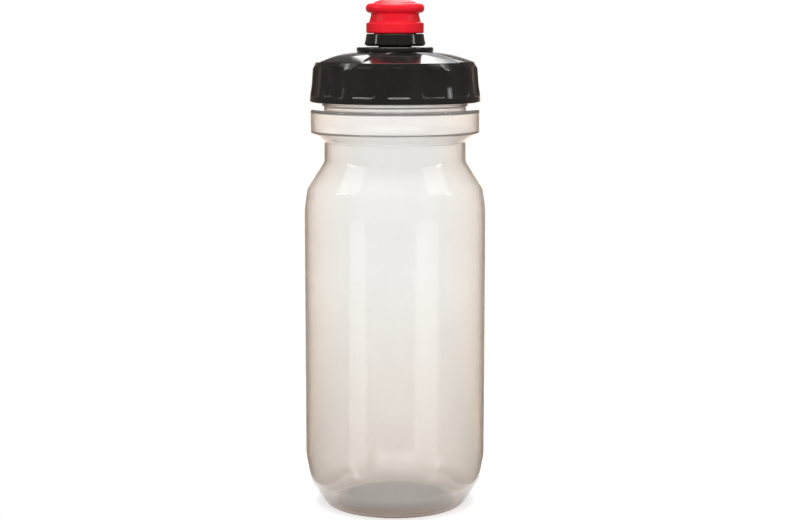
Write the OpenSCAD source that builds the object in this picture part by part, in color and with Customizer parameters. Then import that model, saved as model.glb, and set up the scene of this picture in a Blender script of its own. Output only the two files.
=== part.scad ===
// Bicycle water bottle: a blown squeeze body, a screw cap and a pull valve with a soft mouthpiece.
// Millimetres. The bottle stands on z = 0 and its axis is Z. The thread is right-handed.

/* [Body] */
// Outer diameter of the cylinder that a bottle cage grips
body_d = 73.5; // [73:0.1:74]
// Wall thickness of the blown body
body_wall = 1.2; // [1:0.1:1.3]
// Height at which the cylinder starts above the tapered foot
body_low_h = 20.5; // [18:0.5:24]
// Height at which the cylinder ends and the shoulder starts
body_high_h = 121.5; // [110:0.5:125]
// Diameter of the knee on the tapered foot
knee_d = 69.8; // [69:0.1:70.5]
// Height of the knee
knee_h = 10.2; // [9:0.1:11]
// Outer diameter of the ring that the bottle stands on
stand_d = 56.4; // [55:0.1:58]
// Inner diameter of the ring that the bottle stands on
stand_bore_d = 48.8; // [46:0.1:50]
// Height of the hollow under the base
push_up_h = 3.6; // [2.5:0.1:4.5]
// Diameter of the flat middle of that hollow
push_up_d = 22; // [18:0.5:24]

/* [Shoulder and neck] */
// Diameter where the shoulder turns into the steep cone
shoulder_d = 70.9; // [70.5:0.1:71.5]
// Height of the slightly conical stretch below the steep cone
shoulder_low_h = 8.1; // [7:0.1:10]
// Height of the steep cone
shoulder_high_h = 10.9; // [9:0.1:13]
// Outer diameter of the neck and of the grip groove
neck_d = 57.2; // [56.8:0.1:57.4]
// Height of the grip groove
groove_h = 7.6; // [6:0.1:9]
// Outer diameter of the hollow ring above the groove
ring_d = 68.1; // [66:0.1:69]
// Height of the chamfer under the ring
ring_chamfer_h = 3.9; // [3:0.1:5]
// Height of the ring's wall
ring_h = 9.3; // [8:0.1:11]
// Height of the neck from the ring to the rim
neck_h = 14.2; // [14.2:0.1:15]

/* [Thread] */
// Rise of the screw thread in one turn
thread_pitch = 6; // [6:0.1:6.5]
// Turns of thread on the neck and in the cap
thread_turns = 1.15; // [1:0.05:1.2]
// Outer diameter of the thread on the neck
neck_thread_d = 60.8; // [60.4:0.1:60.9]
// Inner diameter of the thread in the cap
cap_thread_d = 58.2; // [58.1:0.1:58.6]

/* [Cap] */
// Gap between the ring and the bottom of the closed cap
cap_gap = 2.8; // [2.6:0.1:3]
// Height of the cap from its bottom edge to the top of its dome
cap_h = 20; // [20:0.1:21]
// Diameter of the plain band at the bottom of the cap
band_d = 68.6; // [68.4:0.1:69]
// Height of the plain band
band_h = 2.2; // [2:0.1:2.8]
// Diameter at the top of the grip ribs
rib_top_d = 66; // [65.8:0.1:66.4]
// Inner diameter of the cap's skirt
skirt_bore_d = 61.6; // [61.4:0.1:61.8]
// Number of finger flutes around the cap
flute_count = 15; // [9:3:18]
// Depth of a finger flute
flute_depth = 0.9; // [0.5:0.1:1]
// Width of a finger flute
flute_w = 9.6; // [6:0.1:9.6]
// Radius of the three round facets in the dome, seen from above
facet_arc_r = 24; // [20:0.5:28]
// Distance from the axis to the inner end of a facet
facet_inner_r = 15.2; // [15:0.1:17]
// Fall of a facet towards the rim, in degrees
facet_slope = 13.2; // [12:0.1:14]
// Thickness of the dome
dome_wall = 2; // [1.8:0.1:2.2]
// Thickness of the flat gasket in the cap
gasket_t = 1.6; // [1.4:0.1:1.6]

/* [Valve] */
// Diameter of the spout's flange on the dome
flange_d = 30.8; // [30:0.1:31]
// Outer diameter of the spout's tube
tube_d = 13.2; // [13.2:0.1:13.4]
// Bore of the spout's tube
tube_bore_d = 10.6; // [10:0.1:10.8]
// Diameter of the pin that plugs the mouthpiece
pin_d = 6.1; // [5.6:0.1:6.1]
// Travel of the pull valve
valve_travel = 7; // [5:0.1:7]
// Largest diameter of the valve's collar
collar_d = 24.7; // [24.4:0.1:25]
// Diameter of the mouthpiece's lower band
mouth_band_d = 23; // [22.8:0.1:23.4]
// Diameter of the mouthpiece's rounded lip
mouth_lip_d = 23.4; // [23:0.1:24]
// Diameter of the mouthpiece's waist
mouth_waist_d = 19; // [18.8:0.1:19.6]

/* [Hidden] */
$fn = 96;
// Facets of a facet's wide floor and of its outline
FLOOR_FN = 360;
FACET_FN = 180;
// Facets of a seal's wire
WIRE_FN = 24;
// Largest turn between two points of an arc, in degrees
ARC_STEP = 9;
// Points along the dome's arc
DOME_STEPS = 6;
// Turn between two rings of a thread, in degrees
THREAD_STEP = 6;
// Height of a thread at its very ends, as a share of one ring's growth
THREAD_END = 0.2;
// How far one solid reaches into another that it is joined to
JOIN = 0.4;
// How far a cutting solid reaches past what it cuts
OVER = 1;
// Gap between two pieces that lie on each other
SEAT = 0.05;
// Shortest flat between two fillets
FLAT = 0.1;

// Heights on the body, from the ground up
shoulder_z = body_high_h + shoulder_low_h;
groove_z = shoulder_z + shoulder_high_h;
groove_top_z = groove_z + groove_h;
ring_z = groove_top_z + ring_chamfer_h;
ring_top_z = ring_z + ring_h;
rim_z = ring_top_z + neck_h;
cap_z = ring_top_z + cap_gap;
dome_z = cap_z + cap_h;

// Fillets of the body, from the ground up
push_up_round = 12;
stand_bore_round = 1.5;
stand_round = 2.2;
knee_round = 5;
foot_round = 14;
shoulder_round = 25;
cone_round = 2.5;
groove_round = 2.2;
groove_top_round = 2;
ring_low_round = 0.9;
ring_top_round = 0.8;

// Neck
neck_r = neck_d / 2;
bead_r = 0.6;
bead_z = ring_top_z + 1.6;

// Thread: width at the root and at the crest, length of the growing ends in degrees, start heights
thread_root_w = 2.4;
thread_crest_w = 1.1;
thread_fade = 24;
neck_thread_z = rim_z - 8.9;
// The cap's thread hangs this far under the neck's, flank below flank
thread_drop = 1.9;
cap_thread_start = 108;

// Cap, measured up from its bottom edge
skirt_r = skirt_bore_d / 2;
seat_h = rim_z + gasket_t + 2 * SEAT - cap_z;
band_r = band_d / 2;
band_top_r = band_r - 0.1;
band_low_round = 0.5;
band_top_round = 1;
// The ribs lean in from the band up to here and stand steeper above
rib_bend_r = rib_top_d / 2 + 0.55;
rib_bend_h = 6.4;
rib_bend_round = 14;
rib_top_r = rib_top_d / 2;
rib_top_h = cap_h - 6.7;
rib_top_round = 2;
rim_corner_r = 31.75;
rim_corner_h = cap_h - 3.95;
rim_corner_round = 1;
// The dome is an arc of this radius around a circle of that radius
dome_arc_r = 50.6;
dome_flat_r = 12.2;
dome_edge_r = 30.9;
dome_edge_a = asin((dome_edge_r - dome_flat_r) / dome_arc_r);
// Lip that centres the gasket
lip_r = 26.6;
lip_in_r = 25.4;
lip_drop = 0.8;
gasket_r = 30.3;
gasket_bore_r = lip_r + 0.3;
flute_pitch = 360 / flute_count;
flute_phase = 2.5;
flute_half_w = flute_w / 2 + 0.4;
flute_arc_r = (pow(flute_w / 2, 2) + pow(flute_depth, 2)) / (2 * flute_depth);
flute_low_h = band_h + 0.3;
flute_top_h = rib_top_h + 1;
flute_corner_r = 1.4;
flute_draft = 4.6;
facet_count = 3;
facet_phase = flute_phase + flute_pitch / 2;
// A facet is slightly crowned, as a strip of a wide cylinder that meets the rim at this height
facet_bow_r = 130;
facet_rim_h = cap_h - 4.2;

// Spout, measured up from the top of the dome. The boss hangs inside the cap and the spigot fills it
boss_r = 14.4;
boss_bore_r = 12.55;
boss_low_h = -5.9;
spigot_r = boss_bore_r - SEAT;
spigot_bore_r = 9.9;
spigot_low_h = -6.9;
spigot_tip_r = spigot_r - 0.1;
well_top_h = -0.7;
snap_r = 13.05;
snap_h = spigot_low_h + 0.5;
seal_wire_r = 0.5;
seal_r = 12;
seal_h = -3.25;
seal_groove_r = seal_r - seal_wire_r - SEAT;
seal_groove_half = seal_wire_r + 0.1;
flange_r = flange_d / 2;
flange_top_h = 1.7;
flange_round = 0.6;
tube_r = tube_d / 2;
tube_foot_round = 0.4;
tube_bore_r = tube_bore_d / 2;
tube_bore_low_h = 0.8;
tube_top_h = 13.5;
tube_chamfer = 0.3;
piston_r = tube_r + 0.6;
piston_low_h = 11.1;
ring_wire_r = 0.43;
ring_seal_r = tube_r + 0.24;
ring_seal_h = 12.3;
ring_groove_r = tube_r - 0.25;
ring_groove_half = ring_wire_r + 0.08;
pin_r = pin_d / 2;
pin_low_h = 9.4;
pin_low_round = 0.5;
pin_shank_r = 2.2;
pin_shank_h = 15.2;
pin_head_h = 16.2;
pin_head_round = 0.3;
pin_top_h = 19.7;
pin_top_round = 1.1;
spoke_count = 3;
spoke_w = 1.5;
spoke_low_h = 9.7;
spoke_h = 2.6;

// Valve slider, pushed shut: a collar to grip, a nipple above it and a barb that holds the mouthpiece
slide_r = tube_r + SEAT;
slider_low_h = 2.1;
slider_lip_top_h = piston_low_h - valve_travel - 0.2;
slider_bore_r = piston_r + 0.1;
slider_bore_top_h = 13.9;
land_r = pin_r + 0.1;
land_low_h = 16.5;
slider_top_h = 18.3;
collar_r = collar_d / 2;
collar_low_r = collar_r - 1.05;
collar_wide_h = 2.9;
collar_bend_r = collar_r - 0.45;
collar_bend_h = 4.5;
collar_bend_round = 3;
collar_top_r = collar_r - 0.85;
collar_top_h = 6.95;
collar_edge_round = 0.3;
nipple_r = 8.5;
nipple_top_h = 12.7;
barb_neck_r = 8.2;
barb_neck_low_h = 13.3;
barb_neck_top_h = 15.3;
barb_r = 9.6;
barb_low_h = 16.1;
barb_top_h = 17.1;
barb_tip_r = 8.4;

// Mouthpiece, pushed shut: a band over the collar, a waist and a rounded lip under a low crown
mouth_low_h = collar_top_h + 0.2;
mouth_band_r = mouth_band_d / 2;
mouth_band_low_round = 0.7;
mouth_band_top_h = 11.1;
mouth_band_top_round = 0.5;
mouth_step_r = mouth_waist_d / 2 + 0.8;
mouth_step_h = mouth_band_top_h + 0.5;
mouth_step_round = 0.6;
mouth_waist_r = mouth_waist_d / 2;
mouth_waist_h = 14.6;
mouth_waist_round = 0.7;
mouth_neck_r = mouth_waist_r + 0.3;
mouth_neck_round = 0.2;
mouth_lip_r = mouth_lip_d / 2;
mouth_lip_low_h = 15.1;
mouth_lip_top_h = 18.9;
mouth_lip_round = (mouth_lip_top_h - mouth_lip_low_h - FLAT) / 2;
crown_low_r = mouth_lip_r - 2.9;
crown_low_round = 0.4;
crown_r = mouth_lip_r - 3.5;
crown_h = mouth_lip_top_h + 0.5;
crown_round = 1.5;
mouth_top_h = 20.7;
mouth_hole_r = land_r + 0.2;
mouth_top_r = mouth_hole_r + 1.5;
mouth_top_round = 2;
mouth_hole_round = 0.5;

// Outline tools

function unit(v) = v / norm(v);

function turned(v, a) = [v.x * cos(a) - v.y * sin(a), v.x * sin(a) + v.y * cos(a)];

// Signed angle from heading u to heading v
function bend(u, v) = atan2(u.x * v.y - u.y * v.x, u * v);

function spot(corner) = [corner.x, corner.y];

// Points of an arc of radius r that rounds corner p between headings u and v
function fillet(p, u, v, r) =
    let (a = bend(u, v),
         start = p - u * r * tan(abs(a) / 2),
         centre = start + turned(u, sign(a) * 90) * r,
         steps = ceil(abs(a) / ARC_STEP))
    [for (i = [0:steps]) centre + turned(start - centre, a * i / steps)];

function corner_points(path, i) =
    let (p = spot(path[i]))
    i == 0 || i == len(path) - 1 || path[i][2] == 0
        ? [p]
        : fillet(p, unit(p - spot(path[i - 1])), unit(spot(path[i + 1]) - p), path[i][2]);

// An open outline from corners [r, z, fillet radius]
function rounded(path) = [for (i = [0:len(path) - 1]) each corner_points(path, i)];

// The same corners moved to the left of the way they run, by t, with fillets that keep the wall even
function inset(path, t) =
    [for (i = [0:len(path) - 1])
        let (here = spot(path[i]),
             before = i > 0 ? unit(here - spot(path[i - 1])) : unit(spot(path[1]) - here),
             after = i < len(path) - 1 ? unit(spot(path[i + 1]) - here) : before,
             side = unit(turned(before + after, 90)),
             reach = t / (side * turned(before, 90)),
             moved = here + side * reach,
             r = path[i][2] - sign(bend(before, after)) * t)
        [moved.x, moved.y, path[i][2] == 0 ? 0 : max(r, t / 3)]];

function reversed(list) = [for (i = [len(list) - 1:-1:0]) list[i]];

// A right-handed thread of trapezoid section, from angle start, its height growing in over its ends
module thread(root_r, crest_r, z, start, turns) {
    rings = ceil(turns * 360 / THREAD_STEP);
    fade_rings = thread_fade / THREAD_STEP;
    points = [for (i = [0:rings])
        let (a = start + i * THREAD_STEP,
             grow = min(1, (i + THREAD_END) / fade_rings, (rings - i + THREAD_END) / fade_rings),
             r = root_r + (crest_r - root_r) * grow,
             h = z + thread_pitch * i * THREAD_STEP / 360,
             rim = [[root_r, -thread_root_w / 2], [r, -thread_crest_w / 2],
                    [r, thread_crest_w / 2], [root_r, thread_root_w / 2]])
        each [for (p = rim) [p.x * cos(a), p.x * sin(a), h + p.y]]];
    sides = [for (i = [0:rings - 1], k = [0:3])
        let (a = 4 * i + k,
             b = 4 * i + (k + 1) % 4)
        each [[a, b, b + 4], [a, b + 4, a + 4]]];
    last = 4 * rings;
    ends = [[3, 2, 1, 0], [last, last + 1, last + 2, last + 3]];
    faces = concat(sides, ends);
    polyhedron(points, crest_r > root_r ? faces : [for (f = faces) reversed(f)]);
}

// A ring of round wire
module wire_ring(r, wire_r, z) {
    rotate_extrude() translate([r, z]) circle(wire_r, $fn = WIRE_FN);
}

// Body

BODY_OUTSIDE = [
    [0, push_up_h, 0],
    [push_up_d / 2, push_up_h, push_up_round],
    [stand_bore_d / 2, 0, stand_bore_round],
    [stand_d / 2, 0, stand_round],
    [knee_d / 2, knee_h, knee_round],
    [body_d / 2, body_low_h, foot_round],
    [body_d / 2, body_high_h, shoulder_round],
    [shoulder_d / 2, shoulder_z, cone_round],
    [neck_r, groove_z, groove_round],
    [neck_r, groove_top_z, groove_top_round],
    [ring_d / 2, ring_z, ring_low_round],
    [ring_d / 2, ring_top_z, ring_top_round],
    [neck_r, ring_top_z, ring_top_round],
    [neck_r, rim_z, 0]
];

module bottle_body() {
    color([0.9, 0.89, 0.87, 0.6]) {
        rotate_extrude()
            polygon(concat(rounded(BODY_OUTSIDE), reversed(rounded(inset(BODY_OUTSIDE, body_wall)))));
        wire_ring(neck_r + bead_r / 3, bead_r, bead_z);
        thread(neck_r - JOIN, neck_thread_d / 2, neck_thread_z, 0, thread_turns);
    }
}

// Cap

// Points of the dome's arc at height h, for a dome thinner by t, from angle a to the flat middle
function dome_arc(h, t, a) =
    [for (i = [0:DOME_STEPS])
        let (b = a * (1 - i / DOME_STEPS),
             r = dome_arc_r - t)
        [dome_flat_r + r * sin(b), h - dome_arc_r + r * cos(b)]];

module cap_shell() {
    outside = rounded([
        [skirt_r, 0, 0],
        [band_r, 0, band_low_round],
        [band_top_r, band_h, band_top_round],
        [rib_bend_r, rib_bend_h, rib_bend_round],
        [rib_top_r, rib_top_h, rib_top_round],
        [rim_corner_r, rim_corner_h, rim_corner_round],
        [dome_edge_r, cap_h - dome_arc_r * (1 - cos(dome_edge_a)), 0]
    ]);
    inner_a = asin((lip_in_r - dome_flat_r) / (dome_arc_r - dome_wall));
    inside = [
        [lip_in_r, seat_h - lip_drop],
        [lip_r, seat_h - lip_drop],
        [lip_r, seat_h],
        [skirt_r, seat_h]
    ];
    rotate_extrude()
        polygon(concat(outside, dome_arc(cap_h, 0, dome_edge_a), [[0, cap_h], [0, cap_h - dome_wall]],
                       reversed(dome_arc(cap_h, dome_wall, inner_a)), inside));
}

// What one shallow facet takes off the dome, for the facet that faces +X
module facet_cut() {
    difference() {
        translate([facet_inner_r + facet_arc_r, 0, 0])
            cylinder(r = facet_arc_r, h = cap_h + OVER, $fn = FACET_FN);
        translate([rim_corner_r, 0, facet_rim_h]) rotate([0, facet_slope, 0])
            translate([0, 0, -facet_bow_r]) rotate([0, 90, 0])
                cylinder(r = facet_bow_r, h = 4 * facet_arc_r, center = true, $fn = FLOOR_FN);
    }
}

// What one finger flute takes off the skirt, for the flute that faces +X
module flute_cut() {
    outline = rounded([
        [0, flute_low_h, 0],
        [flute_half_w, flute_low_h, flute_corner_r],
        [flute_half_w, flute_top_h, flute_corner_r],
        [0, flute_top_h, 0]
    ]);
    mirrored = [for (p = reversed(outline)) [-p.x, p.y]];
    floor_r = rib_top_r - flute_depth + flute_arc_r;
    intersection() {
        translate([floor_r, 0, rib_top_h]) rotate([0, -flute_draft, 0])
            translate([0, 0, -cap_h]) cylinder(r = flute_arc_r, h = 2 * cap_h);
        rotate([90, 0, 90]) linear_extrude(band_d) polygon(concat(outline, mirrored));
    }
}

module screw_cap() {
    color([0.14, 0.13, 0.13]) translate([0, 0, cap_z]) {
        difference() {
            union() {
                cap_shell();
                translate([0, 0, cap_h + boss_low_h])
                    cylinder(r = boss_r, h = -boss_low_h - dome_wall / 2);
            }
            translate([0, 0, cap_h + boss_low_h - OVER])
                cylinder(r = boss_bore_r, h = 2 * OVER - boss_low_h);
            for (i = [0:facet_count - 1])
                rotate(i * 360 / facet_count + facet_phase - 90) facet_cut();
            for (i = [0:flute_count - 1])
                rotate(i * flute_pitch + flute_phase - 90) flute_cut();
        }
        thread(skirt_r + JOIN, cap_thread_d / 2,
               neck_thread_z - thread_drop + thread_pitch * cap_thread_start / 360 - cap_z,
               cap_thread_start, thread_turns);
    }
}

module cap_gasket() {
    color([0.85, 0.86, 0.86]) translate([0, 0, rim_z + SEAT])
        difference() {
            cylinder(r = gasket_r, h = gasket_t);
            translate([0, 0, -OVER]) cylinder(r = gasket_bore_r, h = gasket_t + 2 * OVER);
        }
}

// Spout and valve

STEM_OUTLINE = concat([
    [spigot_bore_r, spigot_low_h],
    [spigot_tip_r, spigot_low_h],
    [snap_r, snap_h],
    [snap_r, boss_low_h - SEAT],
    [spigot_r, boss_low_h - SEAT],
    [spigot_r, seal_h - seal_groove_half],
    [seal_groove_r, seal_h - seal_groove_half],
    [seal_groove_r, seal_h + seal_groove_half],
    [spigot_r, seal_h + seal_groove_half]
], rounded([
    [spigot_r, SEAT, 0],
    [flange_r, SEAT, 0],
    [flange_r, flange_top_h, flange_round],
    [tube_r, flange_top_h, tube_foot_round],
    [tube_r, piston_low_h, 0]
]), [
    [piston_r, piston_low_h],
    [piston_r, ring_seal_h - ring_groove_half],
    [ring_groove_r, ring_seal_h - ring_groove_half],
    [ring_groove_r, ring_seal_h + ring_groove_half],
    [piston_r, ring_seal_h + ring_groove_half],
    [piston_r, tube_top_h - tube_chamfer],
    [piston_r - tube_chamfer, tube_top_h],
    [tube_bore_r, tube_top_h],
    [tube_bore_r, tube_bore_low_h],
    [spigot_bore_r, well_top_h]
]);

PIN_OUTLINE = rounded([
    [0, pin_low_h, 0],
    [pin_shank_r, pin_low_h, pin_low_round],
    [pin_shank_r, pin_shank_h, 0],
    [pin_r, pin_head_h, pin_head_round],
    [pin_r, pin_top_h, pin_top_round],
    [0, pin_top_h, 0]
]);

module spout_stem() {
    color([0.12, 0.12, 0.12]) translate([0, 0, dome_z]) {
        rotate_extrude() polygon(STEM_OUTLINE);
        rotate_extrude() polygon(PIN_OUTLINE);
        for (i = [0:spoke_count - 1])
            rotate(i * 360 / spoke_count)
                translate([pin_shank_r - JOIN, -spoke_w / 2, spoke_low_h])
                    cube([tube_bore_r - pin_shank_r + 2 * JOIN, spoke_w, spoke_h]);
    }
}

module stem_seal() {
    color([0.1, 0.1, 0.1]) wire_ring(seal_r, seal_wire_r, dome_z + seal_h);
}

module valve_seal() {
    color([0.8, 0.8, 0.78]) wire_ring(ring_seal_r, ring_wire_r, dome_z + ring_seal_h);
}

module valve_slider() {
    outside = rounded([
        [slide_r, slider_low_h, 0],
        [collar_low_r, slider_low_h, collar_edge_round],
        [collar_r, collar_wide_h, collar_edge_round],
        [collar_bend_r, collar_bend_h, collar_bend_round],
        [collar_top_r, collar_top_h, collar_edge_round],
        [nipple_r, collar_top_h, 0],
        [nipple_r, nipple_top_h, 0],
        [barb_neck_r, barb_neck_low_h, 0],
        [barb_neck_r, barb_neck_top_h, 0],
        [barb_r, barb_low_h, 0],
        [barb_r, barb_top_h, 0],
        [barb_tip_r, slider_top_h, 0]
    ]);
    inside = [
        [land_r, slider_top_h],
        [land_r, land_low_h],
        [slider_bore_r, slider_bore_top_h],
        [slider_bore_r, slider_lip_top_h],
        [slide_r, slider_lip_top_h]
    ];
    color([0.13, 0.12, 0.12]) translate([0, 0, dome_z])
        rotate_extrude() polygon(concat(outside, inside));
}

module mouthpiece() {
    outside = rounded([
        [nipple_r + SEAT, mouth_low_h, 0],
        [mouth_band_r, mouth_low_h, mouth_band_low_round],
        [mouth_band_r, mouth_band_top_h, mouth_band_top_round],
        [mouth_step_r, mouth_step_h, mouth_step_round],
        [mouth_waist_r, mouth_waist_h, mouth_waist_round],
        [mouth_neck_r, mouth_lip_low_h, mouth_neck_round],
        [mouth_lip_r, mouth_lip_low_h, mouth_lip_round],
        [mouth_lip_r, mouth_lip_top_h, mouth_lip_round],
        [crown_low_r, mouth_lip_top_h, crown_low_round],
        [crown_r, crown_h, crown_round],
        [mouth_top_r, mouth_top_h, mouth_top_round],
        [mouth_hole_r, mouth_top_h, mouth_hole_round],
        [mouth_hole_r, slider_top_h + SEAT, 0]
    ]);
    inside = [
        [barb_tip_r + SEAT, slider_top_h + SEAT],
        [barb_r + SEAT, barb_top_h + SEAT],
        [barb_r + SEAT, barb_low_h - SEAT],
        [barb_neck_r + SEAT, barb_neck_top_h - SEAT],
        [barb_neck_r + SEAT, barb_neck_low_h + SEAT],
        [nipple_r + SEAT, nipple_top_h + SEAT]
    ];
    color([0.9, 0.1, 0.2]) translate([0, 0, dome_z])
        rotate_extrude() polygon(concat(outside, inside));
}

bottle_body();
cap_gasket();
screw_cap();
spout_stem();
stem_seal();
valve_seal();
valve_slider();
mouthpiece();
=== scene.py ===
"""Looks of a bicycle water bottle: clear blown body, black screw cap, pull valve with a red mouthpiece."""
import math

import bpy
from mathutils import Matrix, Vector


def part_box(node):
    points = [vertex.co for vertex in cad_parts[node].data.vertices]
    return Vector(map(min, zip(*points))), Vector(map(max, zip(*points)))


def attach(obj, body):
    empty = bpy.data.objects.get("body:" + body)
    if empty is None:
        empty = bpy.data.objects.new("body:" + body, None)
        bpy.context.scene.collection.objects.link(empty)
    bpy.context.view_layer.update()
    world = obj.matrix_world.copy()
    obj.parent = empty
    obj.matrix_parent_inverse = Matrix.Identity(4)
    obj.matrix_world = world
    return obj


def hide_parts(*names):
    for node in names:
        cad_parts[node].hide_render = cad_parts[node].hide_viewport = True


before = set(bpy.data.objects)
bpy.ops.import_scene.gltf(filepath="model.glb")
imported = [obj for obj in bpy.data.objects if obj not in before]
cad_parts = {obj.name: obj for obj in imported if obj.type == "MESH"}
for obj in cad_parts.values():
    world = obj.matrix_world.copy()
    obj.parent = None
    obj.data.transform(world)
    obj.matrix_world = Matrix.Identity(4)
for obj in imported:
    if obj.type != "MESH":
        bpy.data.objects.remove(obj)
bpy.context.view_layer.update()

MM = 0.001
TURN = 2 * math.pi
# Angle of the bottle's front, the -Y side, in the XY plane
FRONT = -math.pi / 2

# Heights of the parts, from the frame, in millimetres
RIM_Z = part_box("bottle_body")[1][2] / MM
CAP_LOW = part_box("screw_cap")[0][2] / MM
DOME_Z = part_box("screw_cap")[1][2] / MM
CAP_H = DOME_Z - CAP_LOW

# Screw thread, one helix on the neck and one in the cap, in millimetres and turns
PITCH = 6.0
THREAD_TURNS = 1.15
THREAD_FADE = 24 / 360
THREAD_ROOT_W = 2.4
THREAD_CREST_W = 1.1
NECK_R = 28.6
NECK_THREAD_R = 30.4
NECK_THREAD_Z = RIM_Z - 8.9
CAP_BORE_R = 30.8
CAP_THREAD_R = 29.1
CAP_THREAD_DROP = 1.9
CAP_THREAD_START = 108 / 360

# Cap, in millimetres, heights from its bottom edge
FLUTES = 15
FLUTE_PITCH = TURN / FLUTES
FLUTE_PHASE = FRONT + math.radians(2.5)
FLUTE_DEPTH = 0.9
FLUTE_W = 9.6
FLUTE_ARC_R = ((FLUTE_W / 2) ** 2 + FLUTE_DEPTH ** 2) / (2 * FLUTE_DEPTH)
FLUTE_LOW, FLUTE_TOP = 2.5, 14.3
FLUTE_CORNER_R = 1.4
FLUTE_DRAFT = math.tan(math.radians(4.6))
RIB_R, RIB_TOP_H = 33.0, CAP_H - 6.7
FACETS = 3
FACET_PHASE = FLUTE_PHASE + FLUTE_PITCH / 2
FACET_INNER_R = 15.2
FACET_ARC_R = 24.0
FACET_SLOPE = math.radians(13.2)
FACET_BOW_R = 130.0
RIM_R, RIM_H = 31.75, CAP_H - 4.2
DOME_ARC_R, DOME_FLAT_R, DOME_EDGE_R = 50.6, 12.2, 30.9
DOME_WALL = 2.0

# Widths over which moulded edges are rounded, in millimetres
FLUTE_EDGE = 0.45
FACET_EDGE = 0.45
CREST_EDGE = 0.12


# Outlines and lathed meshes

def rounded(corners, step=math.radians(4)):
    """An outline from corners (r, z, fillet radius), with each fillet as an arc."""
    points = []
    for i, (r, z, fillet) in enumerate(corners):
        here = Vector((r, z))
        if fillet == 0 or i in (0, len(corners) - 1):
            points.append(here)
            continue
        into = (here - Vector(corners[i - 1][:2])).normalized()
        out = (Vector(corners[i + 1][:2]) - here).normalized()
        angle = math.atan2(into.x * out.y - into.y * out.x, into.dot(out))
        start = here - into * fillet * math.tan(abs(angle) / 2)
        centre = start + Vector((-into.y, into.x)) * math.copysign(fillet, angle)
        arm = start - centre
        count = max(2, math.ceil(abs(angle) / step))
        for k in range(count + 1):
            a = angle * k / count
            points.append(centre + Vector((arm.x * math.cos(a) - arm.y * math.sin(a),
                                           arm.x * math.sin(a) + arm.y * math.cos(a))))
    return points


def inset(corners, t):
    """The same corners moved to the left of the way they run, with fillets that keep the wall even."""
    spots = [Vector(c[:2]) for c in corners]
    moved = []
    for i, here in enumerate(spots):
        before = (here - spots[i - 1]).normalized() if i else (spots[1] - here).normalized()
        after = (spots[i + 1] - here).normalized() if i < len(spots) - 1 else before
        mean = (before + after).normalized()
        side = Vector((-mean.y, mean.x))
        there = here + side * t / side.dot(Vector((-before.y, before.x)))
        bend = before.x * after.y - before.y * after.x
        fillet = corners[i][2]
        moved.append((there.x, there.y, max(fillet - math.copysign(t, bend), t / 3) if fillet else 0))
    return moved


def split(points, longest):
    """The outline with no stretch longer than longest(height)."""
    fine = []
    for a, b in zip(points, points[1:]):
        count = max(1, math.ceil((b - a).length / longest((a.y + b.y) / 2)))
        fine += [a.lerp(b, k / count) for k in range(count)]
    return fine + [points[-1]]


def even_turn(count):
    return [TURN * j / count for j in range(count)]


def lathe(name, points, angles, closed=False, shape=None, low=0.0):
    """A mesh turned from an outline in millimetres, with the solid on its left. shape moves its points."""
    columns = len(angles)
    verts, rows = [], []
    for p in points:
        if p.x < 1e-6:
            rows.append([len(verts)] * columns)
            verts.append((0, 0, (p.y + low) * MM))
            continue
        rows.append(list(range(len(verts), len(verts) + columns)))
        for a in angles:
            r, z = shape(p.x, p.y, a) if shape else (p.x, p.y)
            verts.append((r * math.cos(a) * MM, r * math.sin(a) * MM, (z + low) * MM))
    faces = []
    for lower, upper in zip(rows, rows[1:] + rows[:1] if closed else rows[1:]):
        for j in range(columns):
            k = (j + 1) % columns
            faces.append(list(dict.fromkeys((lower[j], lower[k], upper[k], upper[j]))))
    mesh = bpy.data.meshes.new(name)
    mesh.from_pydata(verts, [], faces)
    mesh.validate()
    mesh.shade_smooth()
    piece = bpy.data.objects.new(name, mesh)
    bpy.context.scene.collection.objects.link(piece)
    return piece


def smooth(x):
    """0 below 0, 1 above 1, and a soft step between."""
    x = min(1.0, max(0.0, x))
    return x * x * (3 - 2 * x)


def soft_positive(x, edge):
    """x where it is positive and 0 where it isn't, rounded over edge."""
    return (x + math.sqrt(x * x + edge * edge)) / 2 - (edge / 2 if x < -8 * edge else 0)


def thread_height(z, angle, start_z, start_turn):
    """How much of the thread's full height stands at this place, from 0 to 1."""
    best = 0.0
    for lap in range(-1, 3):
        along = angle / TURN + lap - start_turn
        if 0 <= along <= THREAD_TURNS:
            grow = min(1.0, along / THREAD_FADE, (THREAD_TURNS - along) / THREAD_FADE)
            off = abs(z - start_z - PITCH * along)
            flank = (THREAD_ROOT_W / 2 - off) / ((THREAD_ROOT_W - THREAD_CREST_W) / 2)
            best = max(best, min(grow, smooth(flank)))
    return best


# Body

BODY_WALL = 1.2
SEAM_DEPTH = 0.05
SEAM_W = 0.5
BODY_CORNERS = [
    (0, 3.6, 0), (11, 3.6, 12), (24.4, 0, 1.5), (28.2, 0, 2.2), (34.9, 10.2, 5), (36.75, 20.5, 14),
    (36.75, 121.5, 25), (35.45, 129.6, 2.5), (NECK_R, 140.5, 2.2), (NECK_R, 148.1, 2), (34.05, 152, 0.9),
    (34.05, 161.3, 0.8), (NECK_R, 161.3, 0.8)
]
BEAD_R, BEAD_LOW, BEAD_TOP = 29.4, 162.4, 163.4
RIM_EDGE = 0.45
# Columns of the seam's own, either side of it
SEAM_ANGLES = [math.radians(a) for a in (-0.9, -0.6, -0.3, 0.3, 0.6, 0.9)]


def body_shape(r, z, angle):
    """The neck's thread, and the faint seam where the two halves of the mould met."""
    if r > NECK_R - 0.05 and z > RIM_Z - 11.5:
        r += (NECK_THREAD_R - NECK_R) * thread_height(z, angle, NECK_THREAD_Z, 0.0)
    elif r > BODY_CORNERS[2][0]:
        r -= SEAM_DEPTH * smooth(1 - abs(math.remainder(angle, math.pi)) * r / SEAM_W)
    return r, z


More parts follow.
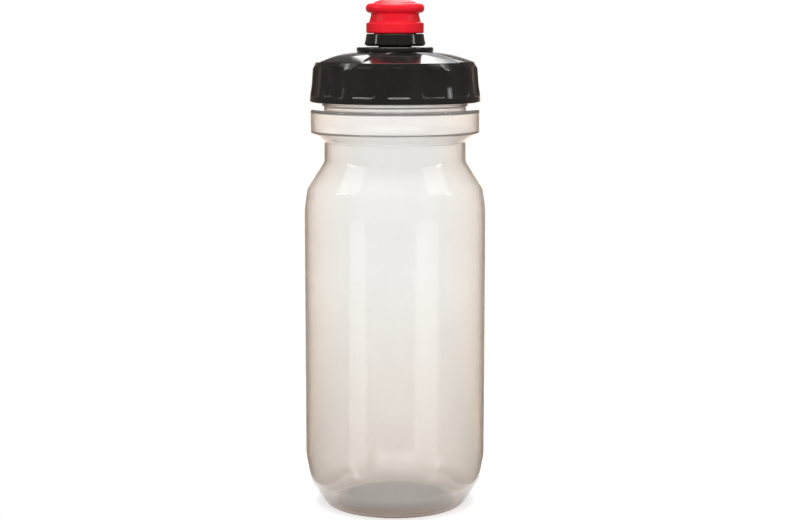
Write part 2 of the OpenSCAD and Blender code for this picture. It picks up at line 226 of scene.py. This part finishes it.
def make_body():
    outside = BODY_CORNERS + [
        (NECK_R, BEAD_LOW, 0.15), (BEAD_R, BEAD_LOW + 0.1, 0.4), (BEAD_R, BEAD_TOP - 0.1, 0.4),
        (NECK_R, BEAD_TOP, 0.15), (NECK_R, RIM_Z, RIM_EDGE), (NECK_R - BODY_WALL, RIM_Z, RIM_EDGE),
        (NECK_R - BODY_WALL, RIM_Z - 2 * RIM_EDGE, 0)
    ]
    inside = rounded(inset(BODY_CORNERS + [(NECK_R, RIM_Z - 2 * RIM_EDGE, 0)], BODY_WALL))
    fine = split(rounded(outside), lambda z: 0.35 if z > RIM_Z - 11.5 else 3.0)
    coarse = split(inside, lambda z: 3.0)
    angles = sorted(even_turn(240) + [(s + a) % TURN for s in (0, math.pi) for a in SEAM_ANGLES])
    return lathe("blown_body", fine + coarse[-2::-1], angles, shape=body_shape)


# Cap

def dome(h, t, edge_r):
    """Points of the dome at height h, thinner by t, from radius edge_r in to its flat middle."""
    r = DOME_ARC_R - t
    edge = math.asin((edge_r - DOME_FLAT_R) / r)
    steps = 60
    angles = [edge * (1 - i / steps) for i in range(steps + 1)]
    return [Vector((DOME_FLAT_R + r * math.sin(a), h - DOME_ARC_R + r * math.cos(a))) for a in angles]


def flute_cut(r, z, angle):
    """How deep a finger flute cuts below radius r here."""
    off = math.remainder(angle - FLUTE_PHASE, FLUTE_PITCH)
    side = r * math.sin(off)
    if abs(side) >= FLUTE_W / 2 + 1:
        return 0.0
    half_w, half_h = FLUTE_W / 2 + 0.4, (FLUTE_TOP - FLUTE_LOW) / 2
    x = abs(side) - half_w + FLUTE_CORNER_R
    y = abs(z - (FLUTE_TOP + FLUTE_LOW) / 2) - half_h + FLUTE_CORNER_R
    inside = FLUTE_CORNER_R - math.hypot(max(x, 0), max(y, 0)) - min(max(x, y), 0)
    floor = RIB_R - FLUTE_DEPTH + (RIB_TOP_H - z) * FLUTE_DRAFT
    floor += FLUTE_ARC_R - math.sqrt(FLUTE_ARC_R ** 2 - side ** 2)
    return soft_positive(r - floor, CREST_EDGE) * smooth(inside / FLUTE_EDGE + 0.2)


def facet_cut(r, z, angle):
    """How deep a facet of the dome cuts below height z here."""
    off = math.remainder(angle - FACET_PHASE, TURN / FACETS)
    x, y = r * math.cos(off), r * math.sin(off)
    inside = FACET_ARC_R - math.hypot(x - FACET_INNER_R - FACET_ARC_R, y)
    if inside < -FACET_EDGE:
        return 0.0
    bow = FACET_BOW_R - math.sqrt(FACET_BOW_R ** 2 - y ** 2)
    floor = RIM_H + (RIM_R - x) * math.tan(FACET_SLOPE) - bow / math.cos(FACET_SLOPE)
    return max(0.0, z - floor) * smooth(inside / FACET_EDGE + 0.5)


def cap_shape(r, z, angle):
    """The flutes, the dome's facets and the thread in the skirt."""
    if abs(r - CAP_BORE_R) < 0.01 and z < 13:
        start_z = NECK_THREAD_Z - CAP_THREAD_DROP + PITCH * CAP_THREAD_START - CAP_LOW
        r -= (CAP_BORE_R - CAP_THREAD_R) * thread_height(z, angle, start_z, CAP_THREAD_START)
    elif r > CAP_BORE_R + 0.5 and FLUTE_LOW - 1 < z < FLUTE_TOP + 1:
        r -= flute_cut(r, z, angle)
    outer_dome = DOME_ARC_R - math.hypot(r - DOME_FLAT_R, z - CAP_H + DOME_ARC_R) < 0.3
    if z > RIM_H - 0.6 and r > FACET_INNER_R - 1 and (outer_dome or r > DOME_EDGE_R - 0.1):
        z -= facet_cut(r, z, angle)
    return r, z


def make_cap():
    hole_r, boss_r, boss_low = 12.55, 14.4, CAP_H - 5.9
    lip_r, lip_in_r, seat_h, lip_h = 26.6, 25.4, 13.1, 12.3
    band_r, band_h = 34.3, 2.2
    dome_edge_h = dome(CAP_H, 0, DOME_EDGE_R)[0].y
    skirt = rounded([
        (CAP_BORE_R, 1.2, 0), (CAP_BORE_R, 0, 0.4), (band_r, 0, 0.5), (band_r - 0.1, band_h, 1),
        (RIB_R + 0.55, 6.4, 14), (RIB_R, RIB_TOP_H, 2), (RIM_R, RIM_H + 0.25, 1),
        (DOME_EDGE_R, dome_edge_h, 0)
    ])
    hole = rounded([(hole_r + 1, CAP_H, 0), (hole_r, CAP_H, 0.3), (hole_r, boss_low, 0.2),
                    (boss_r, boss_low, 0.3), (boss_r, CAP_H - DOME_WALL, 0.5), (boss_r + 1, CAP_H - 2.1, 0)])
    lip = rounded([(lip_in_r, CAP_H - 3.9, 0), (lip_in_r, lip_h, 0.3), (lip_r, lip_h, 0.3),
                   (lip_r, seat_h, 0.2), (CAP_BORE_R, seat_h, 0.3), (CAP_BORE_R, 1.2, 0)])
    over = dome(CAP_H, 0, DOME_EDGE_R)[1:-1]
    under = [p for p in dome(CAP_H, DOME_WALL, lip_in_r)[::4] if boss_r + 1 < p.x < lip_in_r - 0.2]
    outline = split(skirt, lambda z: 0.3) + over + hole + under[::-1] + split(lip, lambda z: 0.4)[:-1]
    return lathe("cap_moulding", outline, even_turn(720), closed=True, shape=cap_shape, low=CAP_LOW)


# Spout and valve, in millimetres above the top of the dome

TUBE_R, TUBE_BORE_R = 6.6, 5.3
PISTON_R, PISTON_LOW, TUBE_TOP = 7.2, 11.1, 13.5
PIN_R, SHANK_R = 3.05, 2.2
SLIDER_LOW, SLIDER_SHUT, SLIDER_TOP = 2.1, 13.9, 18.3
SPIGOT_R, BARB_NECK_R, BARB_R = 8.5, 8.2, 9.6
COLLAR_R, COLLAR_TOP = 12.35, 6.95
LAND_R = 3.15
FIT_GAP = 0.05


def make_stem():
    seal_root, seal_low, seal_top = 11.4, -3.9, -2.6
    ring_root, ring_low, ring_top = 6.35, 11.79, 12.81
    outline = rounded([
        (9.9, -6, 0), (9.9, -6.9, 0.2), (12.4, -6.9, 0.1), (13.05, -6.4, 0.2), (13.05, -5.95, 0.1),
        (12.5, -5.95, 0.1), (12.5, seal_low, 0.08), (seal_root, seal_low, 0.08), (seal_root, seal_top, 0.08),
        (12.5, seal_top, 0.08), (12.5, FIT_GAP, 0.1), (15.4, FIT_GAP, 0.15), (15.4, 1.7, 0.6),
        (TUBE_R, 1.7, 0.4), (TUBE_R, PISTON_LOW, 0.1), (PISTON_R, PISTON_LOW, 0.1),
        (PISTON_R, ring_low, 0.06),
        (ring_root, ring_low, 0.06), (ring_root, ring_top, 0.06), (PISTON_R, ring_top, 0.06),
        (PISTON_R, TUBE_TOP - 0.3, 0.1), (PISTON_R - 0.3, TUBE_TOP, 0.1), (TUBE_BORE_R, TUBE_TOP, 0.15),
        (TUBE_BORE_R, 0.8, 0.8), (9.9, -0.7, 0.8), (9.9, -6, 0)
    ])
    stem = lathe("spout_moulding", outline[:-1], even_turn(192), closed=True, low=DOME_Z)
    pin = lathe("spout_pin", rounded([
        (0, 9.4, 0), (SHANK_R, 9.4, 0.5), (SHANK_R, 15.2, 0.3), (PIN_R, 16.2, 0.3), (PIN_R, 19.7, 1.1),
        (0, 19.7, 0)
    ]), even_turn(96), low=DOME_Z)
    return [stem, pin] + [make_spoke(i) for i in range(3)]


def make_spoke(i):
    """One of the webs that carry the pin, a flat bar with rounded long edges."""
    half_w, low, high = 0.75, 9.7, 12.3
    section = rounded([(0, low, 0), (half_w, low, 0.3), (half_w, high, 0.3), (0, high, 0)])
    ring = section + [Vector((-p.x, p.y)) for p in section[-2:0:-1]]
    a = i * TURN / 3
    ends = (SHANK_R - 0.2, TUBE_BORE_R + 0.3)
    verts = [((r * math.cos(a) - p.x * math.sin(a)) * MM, (r * math.sin(a) + p.x * math.cos(a)) * MM,
              (p.y + DOME_Z) * MM) for r in ends for p in ring]
    n = len(ring)
    faces = [(j, (j + 1) % n, n + (j + 1) % n, n + j) for j in range(n)]
    faces += [tuple(range(n))[::-1], tuple(range(n, 2 * n))]
    mesh = bpy.data.meshes.new(f"spout_spoke_{i + 1}")
    mesh.from_pydata(verts, [], [f[::-1] for f in faces])
    mesh.set_sharp_from_angle(angle=math.radians(35))
    spoke = bpy.data.objects.new(mesh.name, mesh)
    bpy.context.scene.collection.objects.link(spoke)
    return spoke


def make_slider():
    bore_r, lip_top = 7.3, 3.9
    outline = rounded([
        (TUBE_R + FIT_GAP, 3, 0), (TUBE_R + FIT_GAP, SLIDER_LOW, 0.2), (COLLAR_R - 1.05, SLIDER_LOW, 0.3),
        (COLLAR_R, SLIDER_LOW + 0.8, 0.35), (COLLAR_R - 0.45, SLIDER_LOW + 2.4, 3),
        (COLLAR_R - 0.85, COLLAR_TOP, 0.4), (SPIGOT_R, COLLAR_TOP, 0.1), (SPIGOT_R, SLIDER_SHUT - 1.2, 0.3),
        (BARB_NECK_R, SLIDER_SHUT - 0.6, 0.3), (BARB_NECK_R, SLIDER_SHUT + 1.4, 0.2),
        (BARB_R, SLIDER_SHUT + 2.2, 0.2), (BARB_R, SLIDER_SHUT + 3.2, 0.3),
        (BARB_NECK_R + 0.2, SLIDER_TOP, 0.3),
        (LAND_R, SLIDER_TOP, 0.2), (LAND_R, 16.5, 0.3), (bore_r, SLIDER_SHUT, 0.3), (bore_r, lip_top, 0.2),
        (TUBE_R + FIT_GAP, lip_top, 0.15), (TUBE_R + FIT_GAP, 3, 0)
    ])
    return lathe("valve_collar", outline[:-1], even_turn(192), closed=True, low=DOME_Z)


def make_mouthpiece():
    lip_r, lip_low, lip_top = 11.7, 15.1, 18.9
    lip_round = (lip_top - lip_low) / 2 - 0.05
    waist_r, hole_r, crown = 9.5, 3.35, 20.7
    band_r, band_low, band_top = 11.5, 7.15, 11.1
    # The inside follows the slider's spigot and barb
    bore_r, barb_neck_r, barb_r = SPIGOT_R + FIT_GAP, BARB_NECK_R + FIT_GAP, BARB_R + FIT_GAP
    shut, seat = SLIDER_SHUT, SLIDER_TOP + FIT_GAP
    outline = rounded([
        (bore_r, 8, 0), (bore_r, band_low, 0.2), (band_r, band_low, 0.7), (band_r, band_top, 0.5),
        (waist_r + 0.8, band_top + 0.5, 0.6), (waist_r, 14.6, 0.7), (waist_r + 0.3, lip_low, 0.2),
        (lip_r, lip_low, lip_round), (lip_r, lip_top, lip_round), (lip_r - 2.9, lip_top, 0.4),
        (lip_r - 3.5, lip_top + 0.5, 1.5), (hole_r + 1.5, crown, 2), (hole_r, crown, 0.5),
        (hole_r, seat, 0.1), (barb_neck_r + 0.2, seat, 0.1), (barb_r, shut + 3.2 + FIT_GAP, 0.2),
        (barb_r, shut + 2.2 - FIT_GAP, 0.1), (barb_neck_r, shut + 1.4 - FIT_GAP, 0.1),
        (barb_neck_r, shut - 0.6 + FIT_GAP, 0.1), (bore_r, shut - 1.2 + FIT_GAP, 0.1), (bore_r, 8, 0)
    ])
    return lathe("mouthpiece_skin", outline[:-1], even_turn(256), closed=True, low=DOME_Z)


# Materials

def new_material(name):
    mat = bpy.data.materials.new(name)
    mat.use_nodes = True
    return mat, mat.node_tree, mat.node_tree.nodes["Principled BSDF"]


def add_noise(tree, scale, detail=3.0, stretch=(1, 1, 1)):
    """A noise over the object's own coordinates. scale is in features a metre, stretch per axis."""
    place = tree.nodes.new("ShaderNodeTexCoord")
    mapping = tree.nodes.new("ShaderNodeMapping")
    mapping.inputs["Scale"].default_value = stretch
    noise = tree.nodes.new("ShaderNodeTexNoise")
    noise.inputs["Scale"].default_value = scale
    noise.inputs["Detail"].default_value = detail
    tree.links.new(place.outputs["Object"], mapping.inputs["Vector"])
    tree.links.new(mapping.outputs["Vector"], noise.inputs["Vector"])
    return noise.outputs["Fac"]


def map_range(tree, value, low, high, to_low, to_high):
    node = tree.nodes.new("ShaderNodeMapRange")
    for socket, number in (("From Min", low), ("From Max", high), ("To Min", to_low), ("To Max", to_high)):
        node.inputs[socket].default_value = number
    tree.links.new(value, node.inputs["Value"])
    return node.outputs["Result"]


def math_node(tree, operation, a, b=None):
    node = tree.nodes.new("ShaderNodeMath")
    node.operation = operation
    tree.links.new(a, node.inputs[0])
    if b:
        tree.links.new(b, node.inputs[1])
    return node.outputs[0]


def mix_value(tree, share, a, b):
    """Socket a where share is 0 and number b where it is 1."""
    node = tree.nodes.new("ShaderNodeMix")
    tree.links.new(share, node.inputs["Factor"])
    tree.links.new(a, node.inputs["A"])
    node.inputs["B"].default_value = b
    return node.outputs["Result"]


def mix_colour(tree, share, a, b):
    """Colour a where share is 0 and b where it is 1. Each is an (r, g, b) or a socket."""
    node = tree.nodes.new("ShaderNodeMix")
    node.data_type = "RGBA"
    tree.links.new(share, node.inputs["Factor"])
    for socket, colour in ((node.inputs[6], a), (node.inputs[7], b)):
        if isinstance(colour, bpy.types.NodeSocket):
            tree.links.new(colour, socket)
        else:
            socket.default_value = (*colour, 1)
    return node.outputs[2]


def add_bump(tree, shader, height, distance):
    """Raises the surface by height, with distance in metres for a height of 1."""
    bump = tree.nodes.new("ShaderNodeBump")
    bump.inputs["Strength"].default_value = 1.0
    bump.inputs["Distance"].default_value = distance
    tree.links.new(height, bump.inputs["Height"])
    tree.links.new(bump.outputs["Normal"], shader.inputs["Normal"])


def worn_edges(tree, low, high):
    """1 on sharp convex edges and 0 elsewhere."""
    geometry = tree.nodes.new("ShaderNodeNewGeometry")
    return map_range(tree, geometry.outputs["Pointiness"], low, high, 0, 1)


# The body's tints and its painted shade, each between two close colours
CLEAR_TINT = ((0.95, 0.965, 0.97), (0.965, 0.98, 0.985))
DEEP_TINT = ((0.825, 0.8, 0.77), (0.845, 0.82, 0.79))
# Painted shade at the heel, for the shadowed table seen through the foot
HEEL_PAINTED_SHADE = ((0.48, 0.395, 0.34), (0.51, 0.425, 0.37))
# Painted shadow: the base plate is painted dark for the shadow under the bottle
PLATE_PAINTED_SHADOW = ((0.16, 0.12, 0.095), (0.18, 0.14, 0.115))
NECK_TINT = (1, 1, 1)
# Heights between which one tint or painted shade passes into the next, and radii at the edge of the base
# plate, in metres
HEEL_SHADE_FADE = (0.001, 0.009)
BASE_FADE = (0.005, 0.008)
BASE_EDGE = (0.02, 0.027)
DEEP_FADE = (0.02, 0.09)
NECK_FADE = (0.149, 0.153)
# Roughness of the wall, and of the base plate, which lets less of the far wall mirror in it
WALL_ROUGHNESS = (0.07, 0.11)
BASE_ROUGHNESS = 0.5


def height_and_radius(tree):
    """Height above the ground and distance from the axis, in the object's own coordinates."""
    place = tree.nodes.new("ShaderNodeTexCoord")
    axes = tree.nodes.new("ShaderNodeSeparateXYZ")
    flat = tree.nodes.new("ShaderNodeVectorMath")
    flat.operation = "MULTIPLY"
    flat.inputs[1].default_value = (1, 1, 0)
    radius = tree.nodes.new("ShaderNodeVectorMath")
    radius.operation = "LENGTH"
    tree.links.new(place.outputs["Object"], axes.inputs["Vector"])
    tree.links.new(place.outputs["Object"], flat.inputs[0])
    tree.links.new(flat.outputs["Vector"], radius.inputs[0])
    return axes.outputs["Z"], radius.outputs["Value"]


def body_plastic():
    """Smoke-tinted polyethylene, clear at the neck and darker towards the bottom, with painted shade at the
    heel and a dull base plate painted dark as the shadow under the bottle.
    """
    mat, tree, shader = new_material("smoke_polyethylene")
    height, radius = height_and_radius(tree)
    cloud = map_range(tree, add_noise(tree, 28, 4, (1, 1, 0.4)), 0.35, 0.65, 0, 1)
    clear, deep, foot, base = (mix_colour(tree, cloud, *tint)
                               for tint in (CLEAR_TINT, DEEP_TINT, HEEL_PAINTED_SHADE, PLATE_PAINTED_SHADOW))
    # Masks for the painted shade at the heel and for the base plate, which carries a painted shadow and is
    # dull
    heel_shade = map_range(tree, height, *HEEL_SHADE_FADE, 1, 0)
    low = map_range(tree, height, *BASE_FADE, 1, 0)
    middle = map_range(tree, radius, *BASE_EDGE, 1, 0)
    high = map_range(tree, height, *DEEP_FADE, 0, 1)
    neck = map_range(tree, height, *NECK_FADE, 0, 1)
    walls = mix_colour(tree, neck, mix_colour(tree, high, deep, clear), NECK_TINT)
    plate = math_node(tree, "MULTIPLY", low, middle)
    # The wall's tints, then the painted shade at the heel, then the base plate's painted shadow
    tree.links.new(mix_colour(tree, plate, mix_colour(tree, heel_shade, walls, foot), base),
                   shader.inputs["Base Color"])
    haze = add_noise(tree, 150, 4)
    gloss = map_range(tree, haze, 0.3, 0.7, *WALL_ROUGHNESS)
    tree.links.new(mix_value(tree, plate, gloss, BASE_ROUGHNESS), shader.inputs["Roughness"])
    shader.inputs["IOR"].default_value = 1.5
    shader.inputs["Transmission Weight"].default_value = 0.84
    add_bump(tree, shader, add_noise(tree, 120, 2, (1, 1, 0.25)), 0.00004)
    tint = tree.nodes.new("ShaderNodeVolumeAbsorption")
    tint.inputs["Color"].default_value = (0.66, 0.53, 0.36, 1)
    tint.inputs["Density"].default_value = 70
    tree.links.new(tint.outputs["Volume"], tree.nodes["Material Output"].inputs["Volume"])
    return mat


# How much lighter black plastic is where it is cloudy, and on its worn edges
CLOUD_LIFT, WEAR_LIFT = 1.35, 3


def black_plastic(name, colour, roughness, grain):
    """Glossy black plastic with a fine grain, paler on its worn edges. grain is its height in metres."""
    mat, tree, shader = new_material(name)
    cloud = map_range(tree, add_noise(tree, 60, 3), 0.35, 0.65, 0, 1)
    body = mix_colour(tree, cloud, colour, tuple(CLOUD_LIFT * c for c in colour))
    edges = worn_edges(tree, 0.53, 0.6)
    worn = tuple(WEAR_LIFT * c for c in colour)
    tree.links.new(mix_colour(tree, edges, body, worn), shader.inputs["Base Color"])
    tree.links.new(map_range(tree, add_noise(tree, 240, 5), 0.3, 0.7, roughness * 0.8, roughness * 1.35),
                   shader.inputs["Roughness"])
    shader.inputs["IOR"].default_value = 1.5
    add_bump(tree, shader, add_noise(tree, 1400, 3), grain)
    return mat


def soft_rubber(name, light, dark, roughness, soft):
    """Matt rubber between two close colours. soft is the share of light that scatters inside it."""
    mat, tree, shader = new_material(name)
    cloud = map_range(tree, add_noise(tree, 90, 4), 0.35, 0.65, 0, 1)
    tree.links.new(mix_colour(tree, cloud, light, dark), shader.inputs["Base Color"])
    tree.links.new(map_range(tree, add_noise(tree, 500, 4), 0.3, 0.7, roughness * 0.85, roughness * 1.2),
                   shader.inputs["Roughness"])
    shader.inputs["Subsurface Weight"].default_value = soft
    shader.inputs["Subsurface Radius"].default_value = (0.002, 0.0006, 0.0005)
    shader.inputs["Subsurface Scale"].default_value = 1.0
    shader.inputs["Specular IOR Level"].default_value = 0.3
    add_bump(tree, shader, add_noise(tree, 2200, 3), 0.000005)
    return mat


def give(pieces, mat, body=None, node=None):
    """The pieces get the material, ride on the body and stand for the CAD node."""
    for piece in pieces:
        piece.data.materials.clear()
        piece.data.materials.append(mat)
        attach(piece, body)
        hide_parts(node)


def repaint(node, mat):
    """A CAD node keeps its mesh and gets a better material."""
    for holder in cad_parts[node].material_slots:
        holder.material = mat


# The object

give([make_body()], body_plastic(), "bottle", "bottle_body")
# Height of the plastic's grain, in metres
GRAIN = 0.000003
cap_black = black_plastic("cap_polypropylene", (0.0095, 0.0085, 0.0087), roughness=0.13, grain=GRAIN)
give([make_cap()], cap_black, "cap", "screw_cap")
spout_black = black_plastic("spout_plastic", (0.0095, 0.0088, 0.0088), roughness=0.16, grain=GRAIN)
give(make_stem(), spout_black, "cap", "spout_stem")
collar_black = black_plastic("collar_plastic", (0.0085, 0.0075, 0.008), roughness=0.12, grain=GRAIN)
give([make_slider()], collar_black, "valve", "valve_slider")
red = soft_rubber("mouthpiece_elastomer", (0.8, 0.012, 0.028), (0.73, 0.008, 0.022), roughness=0.4, soft=0.3)
give([make_mouthpiece()], red, "valve", "mouthpiece")
milky = soft_rubber("milky_silicone", (0.78, 0.78, 0.75), (0.68, 0.68, 0.65), roughness=0.5, soft=0.2)
repaint("cap_gasket", milky)
repaint("valve_seal", milky)
black = soft_rubber("black_rubber", (0.02, 0.02, 0.02), (0.03, 0.03, 0.03), roughness=0.5, soft=0.0)
repaint("stem_seal", black)


# Floor, light and camera

# Brightness of the narrow wall behind the bottle and of the room around it
WALL_LIGHT, ROOM_LIGHT = 1.4, 0.12
# The room is no darker than this where it is seen through the body
THROUGH_LIGHT = 0.42
# Where the wall fades into the room: degrees to either side, and height as the sine of the elevation
WALL_EDGE = (11, 22)
WALL_TOP = (0.12, 0.24)
# The wall turns warm away from its middle, between these degrees
WALL_WARM = (2, 12)
WALL_SIDE_COLOUR = (1.55, 1.29, 1.1)
FILL_LIGHT = 3.0
# The table is lit from below, so that it has no dark shadow
TABLE_LIGHT = 0.62
# The table's front and back edge and half its width, in metres
TABLE_FRONT, TABLE_BACK, TABLE_SIDE = -0.15, 0.6, 0.05
# The camera: place in metres, downward tilt in degrees and lens in millimetres
CAMERA_AT = (-0.0002, -0.6836, 0.1933)
CAMERA_TILT = 7.77
CAMERA_LENS = 77.57


def make_floor():
    """A pale, narrow light table that the bottle stands on."""
    mesh = bpy.data.meshes.new("floor")
    corners = [(-TABLE_SIDE, TABLE_FRONT, 0), (TABLE_SIDE, TABLE_FRONT, 0),
               (TABLE_SIDE, TABLE_BACK, 0), (-TABLE_SIDE, TABLE_BACK, 0)]
    mesh.from_pydata(corners, [], [(0, 1, 2, 3)])
    floor = bpy.data.objects.new("floor", mesh)
    bpy.context.scene.collection.objects.link(floor)
    mat, tree, shader = new_material("floor_paper")
    tone = map_range(tree, add_noise(tree, 6, 2), 0.3, 0.7, 0, 1)
    tree.links.new(mix_colour(tree, tone, (0.5, 0.5, 0.5), (0.52, 0.52, 0.52)), shader.inputs["Base Color"])
    shader.inputs["Roughness"].default_value = 0.9
    shader.inputs["Emission Color"].default_value = (1, 1, 1, 1)
    shader.inputs["Emission Strength"].default_value = TABLE_LIGHT
    shader.inputs["Specular IOR Level"].default_value = 0.1
    mesh.materials.append(mat)


def make_world():
    """A white wall behind the bottle and a dark room around it. The camera itself sees plain white."""
    world = bpy.data.worlds.new("studio")
    bpy.context.scene.world = world
    world.use_nodes = True
    tree = world.node_tree
    back = tree.nodes["Background"]
    place = tree.nodes.new("ShaderNodeTexCoord")
    axes = tree.nodes.new("ShaderNodeSeparateXYZ")
    tree.links.new(place.outputs["Generated"], axes.inputs["Vector"])
    around = math_node(tree, "ABSOLUTE", math_node(tree, "ARCTAN2", axes.outputs["X"], axes.outputs["Y"]))
    beside = map_range(tree, around, *map(math.radians, WALL_EDGE), WALL_LIGHT, ROOM_LIGHT)
    above = map_range(tree, axes.outputs["Z"], *WALL_TOP, 0, 1)
    path = tree.nodes.new("ShaderNodeLightPath")
    through = map_range(tree, path.outputs["Is Transmission Ray"], 0, 1, 0, THROUGH_LIGHT)
    light = math_node(tree, "MAXIMUM", mix_value(tree, above, beside, ROOM_LIGHT), through)
    seen = tree.nodes.new("ShaderNodeMix")
    tree.links.new(path.outputs["Is Camera Ray"], seen.inputs["Factor"])
    tree.links.new(light, seen.inputs["A"])
    seen.inputs["B"].default_value = 1.0
    tree.links.new(seen.outputs["Result"], back.inputs["Strength"])
    warm = map_range(tree, around, *map(math.radians, WALL_WARM), 0, 1)
    unseen = map_range(tree, path.outputs["Is Camera Ray"], 0, 1, 1, 0)
    share = math_node(tree, "MULTIPLY", warm, unseen)
    tree.links.new(mix_colour(tree, share, (1, 1, 1), WALL_SIDE_COLOUR), back.inputs["Color"])


def add_softbox(name, azimuth, elevation, distance, width, height, radiance, aim=0.11):
    """A soft light aimed at a height on the bottle's axis. Azimuth 0 is the front, positive to the right."""
    a, e = math.radians(azimuth), math.radians(elevation)
    offset = Vector((math.sin(a) * math.cos(e), -math.cos(a) * math.cos(e), math.sin(e))) * distance
    data = bpy.data.lights.new(name, "AREA")
    data.shape = "RECTANGLE"
    data.size, data.size_y = width, height
    data.energy = radiance * math.pi * width * height
    light = bpy.data.objects.new(name, data)
    light.location = Vector((0, 0, aim)) + offset
    light.rotation_euler = (-offset).to_track_quat("-Z", "Y").to_euler()
    light.visible_camera = False
    light.visible_diffuse = False
    bpy.context.scene.collection.objects.link(light)
    return light


def add_front_fill():
    """A broad light around the camera that brings out colours and shows in no surface."""
    fill = add_softbox("front_fill", 0, 12, 1.6, 3.4, 1.2, FILL_LIGHT)
    fill.visible_diffuse = True
    fill.visible_glossy = False
    fill.visible_transmission = False


def add_overhead(strength, spread):
    """The wide even light from above that whitens the table."""
    data = bpy.data.lights.new("overhead", "SUN")
    data.energy = strength
    data.angle = math.radians(spread)
    light = bpy.data.objects.new("overhead", data)
    bpy.context.scene.collection.objects.link(light)


def make_camera():
    """The near, slightly raised camera that the bottle was seen from."""
    data = bpy.data.cameras.new("camera")
    data.sensor_width = 36.0
    data.lens = CAMERA_LENS
    camera = bpy.data.objects.new("camera", data)
    camera.location = CAMERA_AT
    camera.rotation_euler = (math.radians(90 - CAMERA_TILT), 0, 0)
    bpy.context.scene.collection.objects.link(camera)
    bpy.context.scene.camera = camera


make_floor()
make_world()
add_overhead(strength=3.9, spread=50)
add_front_fill()
# Low windows that show as the two tall highlights on the body
add_softbox("left_low_window", -47, -28, distance=0.9, width=0.36, height=0.8, radiance=0.8)
add_softbox("right_low_window", 40, -28, distance=0.9, width=0.5, height=0.8, radiance=0.8)
# Side lights, which reach the matt surfaces too
for name, azimuth in (("left_side", -80), ("right_side", 76)):
    add_softbox(name, azimuth, 48, distance=1.1, width=0.45, height=0.5, radiance=1.1).visible_diffuse = True
# Thin strips at the height of the valve's collar, for the highlights on it
for name, azimuth in (("left_strip", -80), ("right_strip", 79)):
    add_softbox(name, azimuth, 22, distance=1.0, width=0.06, height=0.5, radiance=11, aim=0.19)
# The light that the cap's dome mirrors
add_softbox("back_softbox", 174, 47, distance=1.3, width=0.56, height=1.0, radiance=4.2)
make_camera()
bpy.context.scene.view_settings.view_transform = "Standard"
